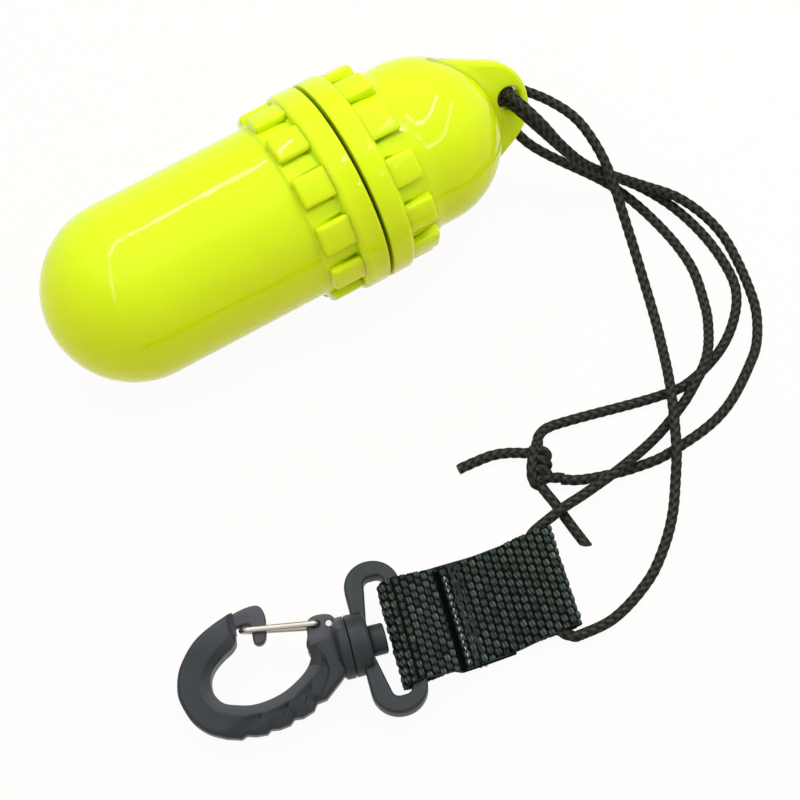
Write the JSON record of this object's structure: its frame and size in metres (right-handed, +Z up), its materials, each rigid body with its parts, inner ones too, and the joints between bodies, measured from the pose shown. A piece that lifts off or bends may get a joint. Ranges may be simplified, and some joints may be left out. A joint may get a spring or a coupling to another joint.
{
  "type": "waterproof screw-top capsule with lanyard and snap hook",
  "caption": "Yellow screw-top waterproof capsule with an eyelet tab, on a knotted black lanyard that carries a webbing tab and a swivel snap hook with a wire gate.",
  "frame": {"origin": "middle of the object's footprint without its cord, on the surface it lies on", "axes": "+Z up from that surface; the capsule's axis runs along +X towards the eyelet, tipped up about 4 degrees"},
  "size_m": [0.1759, 0.1478, 0.0516],
  "materials": {
    "yellow_plastic": "glossy moulded plastic, bright yellow with a green cast",
    "black_rubber": "matt rubber",
    "black_cord": "braided synthetic cord",
    "black_webbing": "woven synthetic webbing",
    "grey_thread": "sewing thread",
    "charcoal_plastic": "satin moulded plastic",
    "stainless_wire": "bright drawn wire"
  },
  "bodies": {
    "cap": {"screw_cap": "yellow_plastic", "lanyard_inner_knot_run": "black_cord", "lanyard_outer_knot_run": "black_cord", "lanyard_short_strap_run": "black_cord", "lanyard_long_strap_run": "black_cord", "lanyard_lower_eye_turn": "black_cord", "lanyard_upper_eye_turn": "black_cord", "lanyard_knot": "black_cord", "lanyard_left_tail": "black_cord", "lanyard_right_tail": "black_cord"},
    "seal": {"sealing_ring": "black_rubber"},
    "capsule": {"capsule_body": "yellow_plastic"},
    "strap": {"webbing_strap": "black_webbing", "seam_thread_1": "grey_thread", "seam_thread_2": "grey_thread", "lanyard_sleeve_run": "black_cord"},
    "loop": {"swivel_loop": "charcoal_plastic"},
    "hook": {"snap_hook": "charcoal_plastic"},
    "gate": {"gate_wire": "stainless_wire"}
  },
  "joints": [
    {"name": "seal_travel", "type": "slide", "parent": "cap", "child": "seal", "axis": [-0.9976, 0, -0.0686], "range_m": [0, 0.0082]},
    {"name": "unscrew", "type": "hinge", "parent": "seal", "child": "capsule", "pos_m": [-0.03566, 0.04665, 0.022], "axis": [-0.9976, 0, -0.0686], "range_deg": [0, 720]},
    {"name": "strap_swing", "type": "hinge", "parent": "cap", "child": "strap", "pos_m": [0.01665, -0.06012, 0.0029], "axis": [0.2501, 0.9682, 0.0071], "range_deg": [0, 110], "deforming": ["lanyard_sleeve_run"]},
    {"name": "loop_swing", "type": "hinge", "parent": "strap", "child": "loop", "pos_m": [-0.02115, -0.05555, 0.0082], "axis": [0.2672, 0.9636, 0], "range_deg": [-60, 60]},
    {"name": "hook_swivel", "type": "hinge", "parent": "loop", "child": "hook", "pos_m": [-0.03078, -0.05288, 0.00789], "axis": [-0.9632, 0.2671, -0.0314], "continuous": true},
    {"name": "gate_open", "type": "hinge", "parent": "hook", "child": "gate", "pos_m": [-0.03503, -0.04561, 0.00894], "axis": [-0.0852, -0.1921, 0.9777], "range_deg": [0, 25], "stiffness_Nm_per_rad": 0.12, "springref_deg": -11.46}
  ],
  "couplings": [
    {"joint": "seal_travel", "follows": "unscrew", "m_per_rad": 0.00063662}
  ]
}
